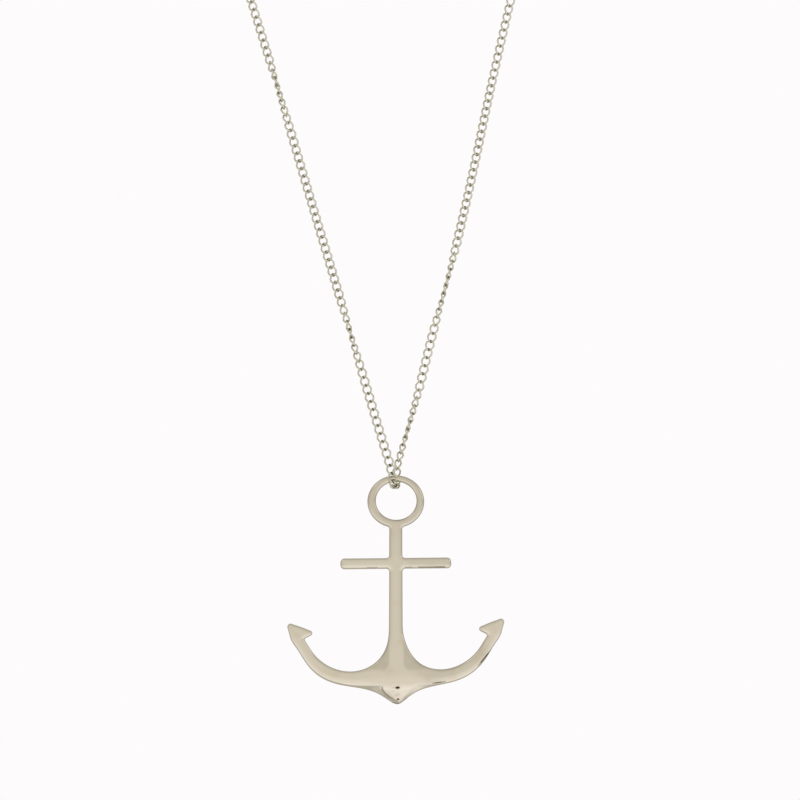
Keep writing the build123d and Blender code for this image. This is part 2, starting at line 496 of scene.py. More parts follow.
@dataclass(frozen=True)
class ShadeAndScratchLine:
    """A dark line on the casting's front, from one place in its plane to another.

    Most are painted shade and painted dark reflections, and a few faint ones are scratches.
    It is as dark as its number: one is full painted shade and two is black. A wide faint one
    is a patch of painted shade.
    """

    start: tuple
    end: tuple
    width: float
    dark: float

    def shade(self, places: np.ndarray) -> np.ndarray:
        """How dark places are: a bell curve across the line."""
        away = line_distance(places, self.start, self.end)
        return self.dark * np.exp(-((away / self.width) ** 2))


@dataclass
class Casting:
    """The anchor: ring, shank, crossbar, arms with barbed flukes and the crown, in one piece.

    Its outline is worked out in a plane that faces the viewer, with x to the right and z up
    from the swing axis. The front is a shallow dome over that outline, rounded at its edges.
    """

    ring_width: float = 13.64
    ring_height: float = 12.58
    bore_width: float = 9.76
    bore_height: float = 9.12
    bore_offset: float = 0.1
    ring_top_wall: float = 1.55
    ring_root_fillet: float = 0.6
    shank_top_width: float = 3.05
    shank_foot_width: float = 3.3
    shank_foot_drop: float = 35.0
    stock_drop: float = 20.35
    stock_length: float = 26.6
    stock_root_height: float = 2.55
    stock_end_height: float = 2.6
    stock_end_round: float = 1.0
    stock_fillet: float = 0.7
    stock_tilt: float = 0.57
    crown_drop: float = 54.2
    crown_offset: float = 0.35
    crown_fade: float = 6.0
    throat_offset: float = 0.3
    throat_fade: float = 2.0
    arm_span: float = 51.8
    arm_rise: float = 19.7
    arm_cant: float = 1.35
    barb_reach: float = 7.2
    barb_root_round: float = 0.4
    barb_tip_round: float = 0.62
    fluke_round: float = 0.75
    fluke_crest_rise: float = 0.12
    fluke_crest_round: float = 8.0
    crown_shares: tuple = (
        (0.048, 0.024), (0.104, 0.077), (0.185, 0.144), (0.315, 0.203),
        (0.556, 0.269), (0.706, 0.362), (0.822, 0.511), (0.917, 0.706),
    )
    throat_shares: tuple = (
        (0.105, 0.681), (0.227, 0.487), (0.444, 0.416), (0.623, 0.487), (0.770, 0.657),
    )
    shoulder_shares: tuple = (0.980, 0.850)
    point_shares: tuple = (1.018, 1.036)
    barb_tip_share: float = 0.898
    barb_root_shares: tuple = (0.851, 0.822)
    throat_end_share: float = 0.55

    half_thickness: float = 0.9
    front_round: float = 0.45
    lower_edge_extra: float = 0.1
    back_round: float = 0.4
    tight_corner_share: float = 0.82
    width_passes: int = 24
    front_wall: float = 0.3
    front_step: float = 0.15
    least_wall: float = 0.15
    dome_drop: float = 0.16
    dome_rise: float = 0.22
    dome_reach: float = 0.75
    dome_soft: float = 0.15

    nose_drop: float = 49.45
    nose_half_width: float = 3.9
    nose_middle: float = 0.55
    nose_tip_margin: float = 0.8
    nose_slope: float = 13.0
    nose_approach_share: float = 0.15
    nose_approach: tuple = (-3.5, -0.3)
    nose_edge_share: float = 0.3
    nose_edge: tuple = (-0.08, 0.08)
    nose_lean_share: float = 0.55
    nose_lean: tuple = (0.0, 1.5)
    nose_flare: tuple = (2.8, 4.0)
    left_flank_slope: float = 26.0
    right_flank_slope: float = 17.0
    flank_seam: float = 0.4
    flank_bulge: tuple = (0.35, 1.0)
    flank_bulge_share: float = 0.6
    left_crease_power: float = 2.2
    right_crease_power: float = 1.4
    crease_round: float = 0.1
    ridge_round: float = 0.25

    # Painted shade in the crease beside the nose and in the two throats.
    crease_dark_width: float = 0.16
    crease_dark_left: float = 0.6
    crease_dark_right: float = 0.03
    crease_dark_start: tuple = (-0.1, 0.6)
    crease_dark_end_share: float = 0.7
    throat_dark_left: float = 0.2
    throat_dark_right: float = 0.19
    throat_dark_middle: float = 0.15
    throat_dark_inner: float = 1.45
    throat_dark_low: float = -46.6
    throat_dark_corner: tuple = (1.27, 1.85)
    throat_dark_fade: float = 0.6
    throat_dark_low_fade: float = 1.5
    throat_dark_beside: tuple = (4.5, 9.0)
    throat_dark_above: tuple = (-38.0, -34.0)
    # Painted dark reflections along the stock's lower edge and the right arm's edges, black dots
    # of painted reflection and painted shade on the nose, painted shade along the crown's lower
    # rim, and two faint scratches.
    tarnish_lines: tuple = (
        ShadeAndScratchLine((5.5, -21.2), (11.7, -21.15), 0.13, 0.65),
        ShadeAndScratchLine((9.6, -21.17), (11.7, -21.15), 0.12, 0.25),
        ShadeAndScratchLine((2.2, -21.25), (3.8, -21.2), 0.11, 0.5),
        ShadeAndScratchLine((-7.0, -21.3), (-4.4, -21.3), 0.1, 0.45),
        ShadeAndScratchLine((19.8, -44.8), (22.9, -41.0), 0.12, 0.6),
        ShadeAndScratchLine((20.4, -44.05), (22.2, -41.85), 0.12, 0.9),
        ShadeAndScratchLine((8.9, -49.05), (11.9, -48.66), 0.12, 0.7),
        ShadeAndScratchLine((9.5, -48.95), (10.9, -48.8), 0.12, 0.4),
        # Black dots of painted reflection on the nose, and a small patch of painted shade.
        ShadeAndScratchLine((0.22, -50.13), (0.66, -50.1), 0.24, 2.0),
        ShadeAndScratchLine((0.42, -52.94), (0.66, -52.92), 0.17, 1.5),
        ShadeAndScratchLine((0.1, -51.85), (0.6, -51.8), 0.4, 0.2),
        # Two faint scratches.
        ShadeAndScratchLine((-0.9, -50.12), (-0.15, -50.12), 0.1, 0.3),
        ShadeAndScratchLine((-0.9, -51.0), (-0.3, -50.97), 0.1, 0.25),
        # Painted shade along the crown's lower rim.
        ShadeAndScratchLine((-0.8, -53.75), (0.1, -54.05), 0.2, 0.5),
        ShadeAndScratchLine((0.45, -54.05), (1.1, -53.8), 0.2, 0.5),
        ShadeAndScratchLine((1.35, -53.6), (2.5, -52.7), 0.16, 0.55),
    )
    # Wide patches of painted shade over the ring, the stock, the right arm and the foot of the
    # nose.
    painted_shade_patches: tuple = (
        ShadeAndScratchLine((-1.0, -4.7), (1.0, -4.7), 9.0, 0.15),
        ShadeAndScratchLine((4.0, -20.3), (12.0, -20.3), 1.3, 0.08),
        ShadeAndScratchLine((8.0, -48.0), (20.5, -41.5), 2.2, 0.12),
        ShadeAndScratchLine((-0.5, -52.9), (0.9, -53.1), 0.5, 0.12),
    )

    outline_spacing: float = 0.16
    curve_spacing: float = 0.03
    oval_steps: int = 700
    grid_spacing: float = 0.24
    crown_spacing: float = 0.13
    crown_above: float = 2.5
    crown_beside: float = 9.0
    line_spacing: float = 0.08
    line_reach: float = 0.32
    edge_gap_share: float = 0.55
    round_rows: int = 6
    batch: int = 2000

    def arm_point(self, side: Side, share_x: float, share_z: float) -> np.ndarray:
        """A point of an arm's outline.

        Args:
            side: The arm's side.
            share_x: Its distance from the middle, as a share of half the span.
            share_z: Its height above the crown's tip, as a share of the arms' rise.

        Returns:
            The point, x and z.
        """
        x = side.value * share_x * self.arm_span / 2.0
        z = -self.crown_drop + share_z * self.arm_rise
        return np.array([x, z + x * np.tan(np.radians(self.arm_cant))])

    def crown_point(self, side: Side, share_x: float, share_z: float) -> np.ndarray:
        """A point of the lower edge, shifted by the crown's offset, which fades along the arm."""
        offset = self.crown_offset * (1.0 - share_x) ** self.crown_fade
        return self.arm_point(side, share_x, share_z) + np.array([offset, 0.0])

    def throat_point(self, side: Side, share_x: float, share_z: float) -> np.ndarray:
        """A point of the upper edge, shifted by the throat's offset, which fades along the arm."""
        offset = self.throat_offset * (1.0 - share_x) ** self.throat_fade
        return self.arm_point(side, share_x, share_z) + np.array([offset, 0.0])

    def shank_half_width(self, drop: float) -> float:
        """Half the shank's width at a distance below the pivot."""
        share = drop / self.shank_foot_drop
        return (self.shank_top_width * (1.0 - share) + self.shank_foot_width * share) / 2.0

    def ring_middle(self) -> float:
        """Height of the middle of the ring's outer oval."""
        return (self.ring_top_wall - self.ring_height) / 2.0

    @staticmethod
    def oval(x: float, z: float, width: float, height: float, turns: np.ndarray) -> np.ndarray:
        """Points of an oval about a middle, at angles from the right and against the clock."""
        columns = [x + width / 2.0 * np.cos(turns), z + height / 2.0 * np.sin(turns)]
        return np.stack(columns, axis=1)

    def stock_corner(self, side: Side, along: float, above: float) -> np.ndarray:
        """A point of the crossbar, which is tilted a little.

        Args:
            side: The half of the bar.
            along: How far the point is from the bar's middle, along it.
            above: How far it is above the bar's own middle line.

        Returns:
            The point, x and z.
        """
        tilt = np.radians(self.stock_tilt)
        x = side.value * along
        place = [x * np.cos(tilt) - above * np.sin(tilt), x * np.sin(tilt) + above * np.cos(tilt)]
        return np.array([place[0], place[1] - self.stock_drop])

    def bars(self, side: Side) -> np.ndarray:
        """One side's edge from the ring down past the crossbar to the foot of the shank.

        Args:
            side: The side.

        Returns:
            The edge's points, x and z, downwards.
        """
        top_half = self.shank_half_width(self.ring_height - self.ring_top_wall)
        start = top_half + self.ring_root_fillet
        ring = []
        for x in (start, top_half):
            share = 1.0 - (2.0 * x / self.ring_width) ** 2
            z = self.ring_middle() - self.ring_height / 2.0 * np.sqrt(share)
            ring.append(np.array([side.value * x, z]))
        root = self.stock_root_height / 2.0
        half = self.shank_half_width(self.stock_drop)
        corners = [
            *ring,
            self.stock_corner(side, half, root),
            self.stock_corner(side, self.stock_length / 2.0, self.stock_end_height / 2.0),
            self.stock_corner(side, self.stock_length / 2.0, -self.stock_end_height / 2.0),
            self.stock_corner(side, half, -root),
            np.array([side.value * self.shank_foot_width / 2.0, -self.shank_foot_drop]),
        ]
        ends = [self.stock_end_round, self.stock_end_round]
        radii = [self.ring_root_fillet, self.stock_fillet, *ends, self.stock_fillet]
        return rounded_run(corners, radii, self.curve_spacing)

    def arm(self, side: Side) -> np.ndarray:
        """One side's edge from the foot of the shank over the fluke to the crown's tip.

        Args:
            side: The side.

        Returns:
            The edge's points, x and z, from the foot to the tip.
        """
        s = side.value
        foot = np.array([s * self.shank_foot_width / 2.0, -self.shank_foot_drop])
        root = self.arm_point(side, *self.barb_root_shares)
        point = self.arm_point(side, *self.point_shares)
        barb_height = self.arm_point(side, self.barb_root_shares[0], self.barb_tip_share)[1]
        barb = np.array([point[0] - s * self.barb_reach, barb_height])
        crest = (barb + point) / 2.0 + np.array([0.0, self.fluke_crest_rise])
        shoulder = self.arm_point(side, *self.shoulder_shares)
        tip = self.crown_point(side, 0.0, 0.0)
        throat = [self.throat_point(side, *row) for row in self.throat_shares]
        crown = [self.crown_point(side, *row) for row in reversed(self.crown_shares)]
        throat_end = throat[-1] + (root - throat[-1]) * self.throat_end_share
        along = root - throat[-1]
        upper = spline_through([foot, *throat, throat_end], (0.0, -1.0), along, self.curve_spacing)
        corners = [throat_end, root, barb, crest, point, shoulder]
        barb_radii = [self.barb_root_round, self.barb_tip_round]
        radii = [*barb_radii, self.fluke_crest_round, self.fluke_round]
        fluke = rounded_run(corners, radii, self.curve_spacing)
        back = shoulder - point
        lower = spline_through([shoulder, *crown, tip], back, (-s, 0.0), self.curve_spacing)
        return np.concatenate([upper, fluke[1:], lower[1:]])

    def outline(self) -> np.ndarray:
        """The closed outer edge, clockwise from the right of the ring's root.

        Returns:
            Its points, x and z, at an even spacing.
        """
        right = np.concatenate([self.bars(Side.RIGHT), self.arm(Side.RIGHT)[1:]])
        left = np.concatenate([self.bars(Side.LEFT), self.arm(Side.LEFT)[1:]])[::-1]
        start = np.arccos(2.0 * right[0, 0] / self.ring_width)
        turns = np.linspace(np.pi + start, -start, self.oval_steps)
        ring = self.oval(0.0, self.ring_middle(), self.ring_width, self.ring_height, turns)
        edge = np.concatenate([right, left[1:], ring[1:]])
        return self.evenly(edge, self.outline_spacing)

    def bore(self) -> np.ndarray:
        """The closed edge of the ring's hole, against the clock.

        Returns:
            Its points, x and z, at an even spacing.
        """
        middle = -(self.ring_top_wall + self.bore_height) / 2.0
        turns = np.linspace(0.0, 2.0 * np.pi, self.oval_steps)
        edge = self.oval(self.bore_offset, middle, self.bore_width, self.bore_height, turns)
        return self.evenly(edge, self.outline_spacing)

    @staticmethod
    def evenly(edge: np.ndarray, spacing: float) -> np.ndarray:
        """A closed line's points at an even spacing.

        Args:
            edge: The line, whose last point is its first.
            spacing: About how far apart the points lie.

        Returns:
            The points, without the last.
        """
        length = run_lengths(edge)[-1]
        count = int(round(length / spacing))
        return at_lengths(edge, np.arange(count) * length / count)

    @staticmethod
    def inward(edge: np.ndarray) -> np.ndarray:
        """Directions into the metal: the tangent of a clockwise edge turned to its right."""
        tangent = unit(np.roll(edge, -1, axis=0) - np.roll(edge, 1, axis=0))
        return np.stack([tangent[:, 1], -tangent[:, 0]], axis=1)

    def round_width(self, edge: np.ndarray) -> np.ndarray:
        """Width of the rounded edge at each point of an outline.

        It grows where the edge faces down, and stays under a tight corner's own radius.

        Args:
            edge: The outline, or the bore.

        Returns:
            One width per point.
        """
        normal = self.inward(edge)
        width = self.front_round + self.lower_edge_extra * np.clip(normal[:, 1], 0.0, 1.0)
        turn = np.roll(normal, -1, axis=0) - np.roll(normal, 1, axis=0)
        ahead = np.roll(edge, -1, axis=0) - np.roll(edge, 1, axis=0)
        bend = -np.sum(turn * ahead, axis=1) / np.sum(ahead * ahead, axis=1)
        tight = np.full_like(bend, np.inf)
        np.divide(self.tight_corner_share, bend, out=tight, where=bend > 0.0)
        width = np.minimum(width, tight)
        for _ in range(self.width_passes):
            width = (np.roll(width, 1) + 2.0 * width + np.roll(width, -1)) / 4.0
        return width

    def batches(self, points: np.ndarray, samples: np.ndarray) -> Iterator[tuple]:
        """Goes through points a batch at a time, which keeps the arrays small.

        Args:
            points: The points.
            samples: The places that they are set against.

        Returns:
            For each batch, which points it holds, and their steps from every sample.
        """
        for start in range(0, len(points), self.batch):
            part = slice(start, start + self.batch)
            yield part, points[part, None, :] - samples[None, :, :]

    def smooth_distance(self, points: np.ndarray, edges: list) -> np.ndarray:
        """A distance from the edges that has no crease half-way between them.

        It is the root of 2 over the sum, along all edges, of the length of each bit of edge
        over the cube of its distance, so beside one straight edge it is the distance itself.

        Args:
            points: The points, one per row.
            edges: The outline and the bore.

        Returns:
            One distance per point.
        """
        total = np.zeros(len(points))
        for part, gaps in self.batches(points, np.concatenate(edges)):
            squares = np.sum(gaps * gaps, axis=2) + self.dome_soft**2
            total[part] = np.sum(self.outline_spacing / squares**1.5, axis=1)
        return np.sqrt(2.0 / total)

    def inside(self, points: np.ndarray, edges: list, margin: float) -> np.ndarray:
        """Which points lie in the metal, at least a margin from its edges.

        Args:
            points: The points to test.
            edges: The closed edges, each with the metal on its right.
            margin: The least distance from an edge.

        Returns:
            True or False for each point.
        """
        samples = np.concatenate(edges)
        normals = np.concatenate([self.inward(edge) for edge in edges])
        answer = np.zeros(len(points), bool)
        for part, gaps in self.batches(points, samples):
            nearest = np.argmin(np.sum(gaps * gaps, axis=2), axis=1)
            away = points[part] - samples[nearest]
            answer[part] = np.sum(away * normals[nearest], axis=1) > margin
        return answer

    def crease_length(self) -> float:
        """How far below the ridge the creases beside the nose meet."""
        return self.crown_drop - self.nose_tip_margin - self.nose_drop

    def on_crown(self, places: np.ndarray) -> tuple:
        """Where places lie on the crown.

        The crease starts at the ridge's ends and closes in on the tip as a power of the
        distance below the ridge.

        Args:
            places: The places, x and z.

        Returns:
            Their distance below the ridge, and outside the crease beside the nose.
        """
        x = places[:, 0] - self.nose_middle
        below = -self.nose_drop + places[:, 0] * np.tan(np.radians(self.arm_cant)) - places[:, 1]
        length = self.crease_length()
        power = np.where(x < 0.0, self.left_crease_power, self.right_crease_power)
        closing = np.maximum(below / length, 0.0) ** power
        across = length / np.hypot(length, self.nose_half_width)
        outside = (np.abs(x) - self.nose_half_width * (1.0 - closing)) * across
        return below, outside

    def nose_cut(self, places: np.ndarray) -> np.ndarray:
        """How far the front of the crown lies behind the dome.

        The front leans back softly above the ridge, at once at the ridge and more below it,
        until the slope fades before the tip. Outside the crease a flank falls away more
        steeply, at first the most.

        Args:
            places: The places, x and z.

        Returns:
            One depth per place.
        """
        below, outside = self.on_crown(places)
        lean = self.nose_approach_share * smooth_rise(below, *self.nose_approach)
        lean = lean + self.nose_edge_share * smooth_rise(below, *self.nose_edge)
        lean = lean + self.nose_lean_share * smooth_rise(below, *self.nose_lean)
        lean = lean - smooth_rise(below, *self.nose_flare)
        under_ridge = smooth_rise(below, -self.ridge_round, self.ridge_round)
        beside = smooth_rise(outside, -self.crease_round, self.crease_round)
        flank = soft_smaller(under_ridge, beside)
        flank = flank - self.flank_bulge_share * smooth_rise(flank, *self.flank_bulge)
        slopes = [self.nose_slope, self.left_flank_slope, self.right_flank_slope]
        nose, left, right = np.tan(np.radians(slopes))
        x = places[:, 0] - self.nose_middle
        steep = left + (right - left) * smooth_step(x, -self.flank_seam, self.flank_seam)
        return nose * lean + steep * flank

    def crease_shade(self, places: np.ndarray) -> np.ndarray:
        """How dark the crease beside the nose is: a bell curve across it, mostly on the left.

        Args:
            places: The places, x and z.

        Returns:
            One share of full painted shade per place.
        """
        # Painted shade along the crease, mostly on its left.
        below, outside = self.on_crown(places)
        left = places[:, 0] < self.nose_middle
        dark = np.where(left, self.crease_dark_left, self.crease_dark_right)
        length = self.crease_length()
        along = 1.0 - smooth_step(below, self.crease_dark_end_share * length, length)
        along = along * smooth_step(below, *self.crease_dark_start)
        return dark * along * np.exp(-((outside / self.crease_dark_width) ** 2))

    def throat_shade(self, places: np.ndarray) -> np.ndarray:
        """How dark the two throats are, beside the shank's foot and above the arms' middle.

        Each dark patch has one corner cut off, beside the foot of the shank.

        Args:
            places: The places, x and z.

        Returns:
            One share of full painted shade per place.
        """
        # Painted shade in the throats.
        side = places[:, 0] - self.throat_dark_middle
        inner = np.abs(side) - self.throat_dark_inner
        above = places[:, 1] - self.throat_dark_low
        wide, high = self.throat_dark_corner
        corner = (inner * high + above * wide - wide * high) / np.hypot(wide, high)
        dark = np.where(side < 0.0, self.throat_dark_left, self.throat_dark_right)
        dark = dark * smooth_step(np.minimum(inner, corner), 0.0, self.throat_dark_fade)
        dark = dark * smooth_step(above, 0.0, self.throat_dark_low_fade)
        dark = dark * (1.0 - smooth_step(places[:, 1], *self.throat_dark_above))
        return dark * (1.0 - smooth_step(np.abs(side), *self.throat_dark_beside))

    def shade(self, places: np.ndarray) -> np.ndarray:
        """How dark the front is, by its painted shade, painted reflections and faint scratches
        together.

        Args:
            places: The places, x and z.

        Returns:
            One number per place, from nought to two.
        """
        lines = [line.shade(places) for line in (*self.tarnish_lines, *self.painted_shade_patches)]
        total = self.crease_shade(places) + self.throat_shade(places) + sum(lines)
        return np.minimum(total, 2.0)

    def skins(self, places: np.ndarray, shares: np.ndarray, edges: list) -> tuple:
        """Front and back surfaces over places in the outline.

        Both are a quarter of an oval across the rounded edge. Where the front is so deep that
        the two would leave no wall between them, the back's is shallower.

        Args:
            places: The places, x and z.
            shares: How far each lies across the rounded edge, from 0 at the outline to 1.
            edges: The outline and the bore.

        Returns:
            How far the front reaches to the viewer, and how far the back reaches away.
        """
        away = self.smooth_distance(places, edges) - self.dome_soft
        dome = self.dome_rise * (1.0 - np.exp(-np.maximum(away, 0.0) / self.dome_reach))
        top = self.half_thickness - self.dome_drop + dome - self.nose_cut(places)
        wall = np.minimum(self.front_wall, top - self.front_step)
        across = np.sqrt(1.0 - (1.0 - shares) ** 2)
        front = wall + (top - wall) * across
        back_share = np.clip(shares * self.front_round / self.back_round, 0.0, 1.0)
        room = np.maximum(self.half_thickness + wall - self.least_wall, 0.0)
        height = np.minimum(self.back_round, room)
        lift = height * (1.0 - np.sqrt(1.0 - (1.0 - back_share) ** 2))
        return front, self.half_thickness - lift

    def surface(self) -> tuple:
        """The casting's closed surface, as vertices in millimetres from the pivot.

        Rows of vertices follow the outline and the bore over their rounded edges, and a
        triangulated field of even points fills what is between them, front and back.

        Returns:
            Vertices, quads, triangles, and how dark each vertex is.
        """
        edges = [self.outline(), self.bore()]
        turns = np.linspace(0.0, np.pi / 2.0, self.round_rows + 1)
        rows = []
        shares = []
        rims = []
        for edge in edges:
            width = self.round_width(edge)[:, None]
            normal = self.inward(edge)
            for turn in turns:
                rows.append(edge + normal * width * (1.0 - np.cos(turn)))
                shares.append(np.full(len(edge), 1.0 - np.cos(turn)))
            rims.append(rows[-1])
        field_points = self.field_points(rims)
        places = np.concatenate([*rows, field_points])
        share = np.concatenate([*shares, np.ones(len(field_points))])
        front, back = self.skins(places, share, edges)
        count = len(places)
        front_side = np.stack([places[:, 0], -front, places[:, 1]], axis=1)
        back_side = np.stack([places[:, 0], back, places[:, 1]], axis=1)
        quads = []
        rim_numbers = []
        first = 0
        for edge in edges:
            rounded = grid_faces(len(turns), len(edge), first)
            quads.append(rounded[:, ::-1])
            quads.append(rounded + count)
            ring = np.arange(first, first + len(edge))
            ahead = np.roll(ring, -1)
            quads.append(np.stack([ring, ahead, ahead + count, ring + count], axis=1))
            last = first + self.round_rows * len(edge)
            rim_numbers.append(np.arange(last, last + len(edge)))
            first = last + len(edge)
        filling = self.filling(places, rim_numbers, rims, first)
        triangles = np.concatenate([filling, filling[:, ::-1] + count])
        # Painted shade and painted reflections on the front only.
        shade = np.concatenate([self.shade(places), np.zeros(count)])
        return np.concatenate([front_side, back_side]), np.concatenate(quads), triangles, shade

    def field_points(self, rims: list) -> np.ndarray:
        """Even points inside the rims in staggered rows, as close together as each place needs.

        Args:
            rims: The inner ends of the rounded edges.

        Returns:
            The points, x and z.
        """
        fields = []
        for spacing in (self.grid_spacing, self.crown_spacing, self.line_spacing):
            xs = np.arange(-self.arm_span / 2.0, self.arm_span / 2.0, spacing)
            zs = np.arange(-self.crown_drop, self.ring_top_wall, spacing * np.sqrt(0.75))
            x, z = np.meshgrid(xs, zs)
            x = x + (np.arange(len(zs)) % 2)[:, None] * spacing / 2.0
            points = np.stack([x.ravel(), z.ravel()], axis=1)
            points = points[self.spacing_at(points) == spacing]
            fields.append(points[self.inside(points, rims, spacing * self.edge_gap_share)])
        return np.concatenate(fields)

    def spacing_at(self, places: np.ndarray) -> np.ndarray:
        """How far apart the points are: closer on the crown and closest along the dark lines.

        Args:
            places: The places, x and z.

        Returns:
            One spacing per place.
        """
        crown_top = -self.nose_drop + self.crown_above
        on_crown = (np.abs(places[:, 0]) < self.crown_beside) & (places[:, 1] < crown_top)
        spacing = np.where(on_crown, self.crown_spacing, self.grid_spacing)
        for line in self.tarnish_lines:
            near = line_distance(places, line.start, line.end) < self.line_reach
            spacing = np.where(near, self.line_spacing, spacing)
        return spacing

    def filling(self, places: np.ndarray, rims: list, rim_edges: list, first: int) -> np.ndarray:
        """Triangles between the rims, through all points from the first one on.

        Args:
            places: All vertices, x and z.
            rims: Vertex numbers of each rim.
            rim_edges: Places of each rim.
            first: Number of the first vertex between the rims.

        Returns:
            Vertex numbers, three per triangle, anticlockwise as seen from the front.
        """
        numbers = np.concatenate([*rims, np.arange(first, len(places))])
        links = []
        start = 0
        for rim in rims:
            ring = np.arange(start, start + len(rim))
            links.append(np.stack([ring, np.roll(ring, -1)], axis=1))
            start += len(rim)
        links = np.concatenate(links).tolist()
        found = delaunay_2d_cdt(places[numbers].tolist(), links, [], 0, 1e-6, True)
        original = np.array([ids[0] for ids in found[3]])
        triangles = numbers[original[np.array(found[2])]]
        middles = places[triangles].mean(axis=1)
        return triangles[self.inside(middles, rim_edges, 0.0)]

    def build(self, finish: bpy.types.Material) -> bpy.types.Object:
        """Makes the piece, which swings with the pendant.

        Args:
            finish: Its plating.

        Returns:
            The piece.
        """
        vertices, quads, triangles, shade = self.surface()
        mesh = make_mesh("anchor_casting", vertices * MM + pivot(), quads, triangles)
        # The casting's painted shade and painted reflections, which its plating reads.
        paint(mesh, "painted_darkness", shade)
        return add_piece(mesh, finish, "pendant", Slot.ANCHOR, "anchor")


@dataclass
class CurbChain:
    """The chain: twisted links that follow one smooth line from the clasp round to the clasp.

    The line's points are millimetres from the swing axis near the ring, and from the middle
    of the clasp round the neck. Each link is an oval of round wire whose ends are turned
    half a right angle either way, so that the links lie flat in each other.
    """

    neck_route: tuple = (
        (14.0, -0.8, -0.8), (27.0, -5.0, -4.5), (42.0, -14.5, -13.0), (54.0, -31.0, -26.0),
        (59.5, -53.0, -42.0), (57.5, -77.0, -60.0), (51.0, -96.5, -83.0), (43.2, -106.8, -110.0),
    )
    left_strand: tuple = (
        (-1.05, -2.05, 2.4), (-3.05, -2.2, 8.6), (-6.75, -2.3, 21.0), (-13.55, -2.2, 44.0),
        (-21.35, -1.9, 70.0), (-28.75, -1.3, 95.5), (-38.3, 0.4, 126.0),
    )
    right_strand: tuple = (
        (0.1, 2.05, 2.4), (1.9, 2.15, 8.4), (5.4, 2.2, 20.5), (8.6, 2.15, 34.0),
        (13.1, 2.1, 50.0), (17.85, 2.0, 70.0), (23.1, 2.0, 95.5), (30.2, 2.2, 126.0),
    )
    bight_x: tuple = (-0.6, -0.3, 0.0, 0.15)
    bight_middle: float = 2.025
    route_end: float = 6.45
    eye_joint: float = 5.575
    line_fineness: int = 32

    pitch: float = 1.945
    wire: float = 0.44
    play: float = 0.08
    link_width: float = 2.42
    end_turn: float = -45.0
    even_passes: int = 12
    wire_steps: int = 12
    wire_fineness: int = 8
    wire_sides: int = 6
    # Painted shade where links bear on each other, deeper near the ring.
    tarnish_near: float = 0.15
    tarnish_far: float = 0.62
    ring_tarnish: float = 1.4
    ring_tarnish_reach: tuple = (2.5, 6.0)

    neck_middle: float = -55.0
    left_slide: tuple = ((2.0, -0.4), (40.0, -1.6), (48.0, -1.4), (81.0, -0.65), (105.0, 0.0))
    right_slide: tuple = (
        (2.0, -0.4), (12.0, -0.15), (25.0, 0.03), (52.0, 0.92), (65.0, 0.42), (97.0, -0.65),
        (130.0, 0.0),
    )
    left_roll: tuple = (
        (24.0, 0.0), (26.0, -25.0), (28.0, -43.0), (30.0, -57.0), (32.2, -72.0), (34.2, -87.0),
        (36.2, -110.0), (37.4, -125.0), (40.4, -145.0), (42.5, -165.0), (44.0, -180.0),
        (79.0, -180.0), (81.0, -192.0), (82.6, -205.0), (84.5, -225.0), (86.3, -243.0),
        (88.2, -254.0), (90.4, -268.0), (92.5, -273.0), (94.5, -289.0), (96.5, -309.0),
        (98.5, -333.0), (101.0, -360.0),
    )
    right_roll: tuple = (
        (-1.5, 0.0), (0.5, 25.0), (3.5, 48.0), (5.4, 51.0), (7.2, 57.0), (9.5, 75.0),
        (12.4, 86.0), (14.4, 96.0), (16.6, 108.0), (19.0, 116.0), (20.9, 132.0), (22.9, 157.0),
        (24.6, 180.0), (35.2, 180.0), (36.9, 199.0), (38.8, 221.0), (40.5, 237.0), (42.4, 243.0),
        (44.4, 246.0), (46.5, 250.0), (49.0, 262.0), (50.7, 269.0), (52.6, 279.0), (54.6, 302.0),
        (56.6, 326.0), (58.3, 347.0), (59.5, 360.0),
    )
    clasp_roll: float = -45.0
    clasp_roll_reach: float = 14.0
    clasp_roll_low: float = -10.0
    round_wall_above: tuple = (0.5, 4.0)

    def bight(self) -> list:
        """Route points where the chain passes under the ring's top wall.

        They are the corners of a polygon round the wall, whose edges touch the circle that
        the chain's middle follows.

        Returns:
            The points from front to back, in millimetres from the swing axis.
        """
        step = np.pi / len(self.bight_x)
        corner = self.bight_middle / np.cos(step / 2.0)
        turns = [np.pi + step * (i + 0.5) for i in range(len(self.bight_x))]
        return [(x, corner * np.cos(t), corner * np.sin(t)) for x, t in zip(self.bight_x, turns)]

    def route(self) -> np.ndarray:
        """The chain's route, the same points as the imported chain's.

        Returns:
            The points in metres, from the left of the clasp round to its right.
        """
        middle = pivot() / MM
        left_neck = [(-x, y, z) for x, y, z in self.neck_route]
        hanging = [*self.left_strand[::-1], *self.bight(), *self.right_strand]
        hanging = (np.array(hanging) + middle).tolist()
        start = [(-self.route_end, 0.0, 0.0), *left_neck]
        end = [*self.neck_route[::-1], (self.route_end, 0.0, 0.0)]
        return np.array([*start, *hanging, *end]) * MM

    def line(self) -> np.ndarray:
        """Close points of the smooth spline that has the route as its control points.

        Returns:
            The points in millimetres, with one more at each end, where the chain meets an eye.
        """
        route = self.route()
        weighted = np.c_[route, np.ones(len(route))].astype(np.float32)
        curve = bpy.data.curves.new("chain_line", "CURVE")
        curve.dimensions = "3D"
        spline = curve.splines.new("NURBS")
        spline.points.add(len(route) - 1)
        spline.points.foreach_set("co", weighted.ravel())
        spline.order_u = 3
        spline.use_endpoint_u = True
        spline.resolution_u = self.line_fineness
        holder = bpy.data.objects.new("chain_line", curve)
        mesh = bpy.data.meshes.new_from_object(holder)
        points = np.empty(len(mesh.vertices) * 3, np.float32)
        mesh.vertices.foreach_get("co", points)
        bpy.data.objects.remove(holder)
        bpy.data.curves.remove(curve)
        bpy.data.meshes.remove(mesh)
        points = points.reshape(-1, 3).astype(float) / MM
        ends = np.array([[self.eye_joint, 0.0, 0.0]])
        return np.concatenate([-ends, points, ends])

